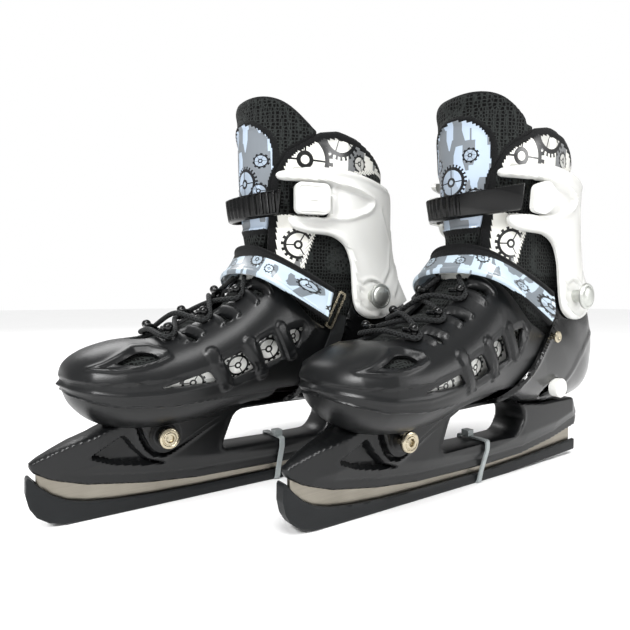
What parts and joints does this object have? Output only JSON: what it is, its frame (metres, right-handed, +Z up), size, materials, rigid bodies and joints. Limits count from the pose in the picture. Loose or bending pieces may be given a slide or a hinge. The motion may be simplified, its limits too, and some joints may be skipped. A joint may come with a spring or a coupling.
{
  "type": "adjustable ice skates",
  "caption": "Size-adjustable ice skates with hinged cuffs, ratchet buckles, laced toe shells and guarded steel blades.",
  "frame": {"origin": "on the floor, under the middle of the pair's bounding box", "axes": "+X towards the toes, +Y towards the wearer's left, +Z up"},
  "size_m": [0.409, 0.1846, 0.277],
  "materials": {
    "matte_black": "fine matte texture",
    "gloss_black": "glossy moulded",
    "guard_black": "matte extruded",
    "blade_steel": "ground along its length",
    "bolt_metal": "zinc-plated, slightly yellow",
    "rivet_silver": "satin silver",
    "cuff_white": "glossy moulded",
    "tie_grey": "translucent grey nylon",
    "liner_fabric": "black spacer mesh and brushed lining",
    "collar_print": "printed vinyl in grey, black and white",
    "strap_print": "printed vinyl in pale blue and grey, stitched black edge",
    "webbing_black": "woven webbing",
    "lace_black": "round braided cord",
    "edge_binding": "brushed black edge binding"
  },
  "bodies": {
    "left_skate": {"left_blade_holder": "matte_black", "left_blade": "blade_steel", "left_blade_guard": "guard_black", "left_guard_tie": "tie_grey", "left_sole_plate": "matte_black", "left_front_bolt": "bolt_metal", "left_front_nut": "bolt_metal", "left_rear_screw": "bolt_metal", "left_heel_shell": "gloss_black", "left_strap_rivet": "bolt_metal", "left_liner_foot": "liner_fabric", "left_insole": "liner_fabric", "left_lateral_pivot_rivet": "rivet_silver", "left_medial_pivot_rivet": "rivet_silver", "left_instep_strap": "strap_print", "left_strap_webbing": "webbing_black", "left_strap_ring": "bolt_metal"},
    "left_toe_box": {"left_toe_shell": "matte_black", "left_lateral_hooks": "gloss_black", "left_medial_hooks": "gloss_black", "left_lace": "lace_black"},
    "left_size_button": {"left_size_button": "cuff_white"},
    "left_cuff": {"left_cuff": "cuff_white", "left_liner_collar": "collar_print", "left_tongue": "liner_fabric", "left_buckle_base": "gloss_black", "left_lever_pin": "bolt_metal", "left_ladder_strap": "gloss_black", "left_strap_anchor": "cuff_white"},
    "left_buckle_lever": {"left_buckle_lever": "cuff_white"},
    "right_skate": {"right_blade_holder": "matte_black", "right_blade": "blade_steel", "right_blade_guard": "guard_black", "right_guard_tie": "tie_grey", "right_sole_plate": "matte_black", "right_front_bolt": "bolt_metal", "right_front_nut": "bolt_metal", "right_rear_screw": "bolt_metal", "right_heel_shell": "gloss_black", "right_strap_rivet": "bolt_metal", "right_liner_foot": "liner_fabric", "right_insole": "liner_fabric", "right_lateral_pivot_rivet": "rivet_silver", "right_medial_pivot_rivet": "rivet_silver", "right_instep_strap": "strap_print", "right_strap_webbing": "webbing_black", "right_strap_ring": "bolt_metal"},
    "right_toe_box": {"right_toe_shell": "matte_black", "right_lateral_hooks": "gloss_black", "right_medial_hooks": "gloss_black", "right_lace": "lace_black"},
    "right_size_button": {"right_size_button": "cuff_white"},
    "right_cuff": {"right_cuff": "cuff_white", "right_liner_collar": "collar_print", "right_tongue": "liner_fabric", "right_buckle_base": "gloss_black", "right_lever_pin": "bolt_metal", "right_ladder_strap": "gloss_black", "right_strap_anchor": "cuff_white"},
    "right_buckle_lever": {"right_buckle_lever": "cuff_white"}
  },
  "joints": [
    {"name": "right_skate_apart", "type": "slide", "parent": "left_skate", "child": "right_skate", "axis": [0, 1, 0], "range_m": [0, 0.3]},
    {"name": "left_toe_length_slide", "type": "slide", "parent": "left_skate", "child": "left_toe_box", "axis": [1, 0, 0], "range_m": [0, 0.018], "deforming": ["left_instep_strap"]},
    {"name": "left_size_button_press", "type": "slide", "parent": "left_skate", "child": "left_size_button", "axis": [0, 1, 0], "range_m": [0, 0.003], "stiffness_N_per_m": 600},
    {"name": "left_cuff_flex", "type": "hinge", "parent": "left_skate", "child": "left_cuff", "pos_m": [-0.0204, -0.0445, 0.134], "axis": [0, 1, 0], "range_deg": [0, 6], "stiffness_Nm_per_rad": 12},
    {"name": "left_buckle_lever_lift", "type": "hinge", "parent": "left_cuff", "child": "left_buckle_lever", "pos_m": [0.0404, -0.00775, 0.1995], "axis": [0, 0, -1], "range_deg": [0, 70]},
    {"name": "right_toe_length_slide", "type": "slide", "parent": "right_skate", "child": "right_toe_box", "axis": [1, 0, 0], "range_m": [0, 0.018], "deforming": ["right_instep_strap"]},
    {"name": "right_size_button_press", "type": "slide", "parent": "right_skate", "child": "right_size_button", "axis": [0, -1, 0], "range_m": [0, 0.003], "stiffness_N_per_m": 600},
    {"name": "right_cuff_flex", "type": "hinge", "parent": "right_skate", "child": "right_cuff", "pos_m": [-0.1354, 0.0445, 0.134], "axis": [0, 1, 0], "range_deg": [0, 6], "stiffness_Nm_per_rad": 12},
    {"name": "right_buckle_lever_lift", "type": "hinge", "parent": "right_cuff", "child": "right_buckle_lever", "pos_m": [-0.0746, 0.00775, 0.1995], "axis": [0, 0, 1], "range_deg": [0, 70]}
  ]
}
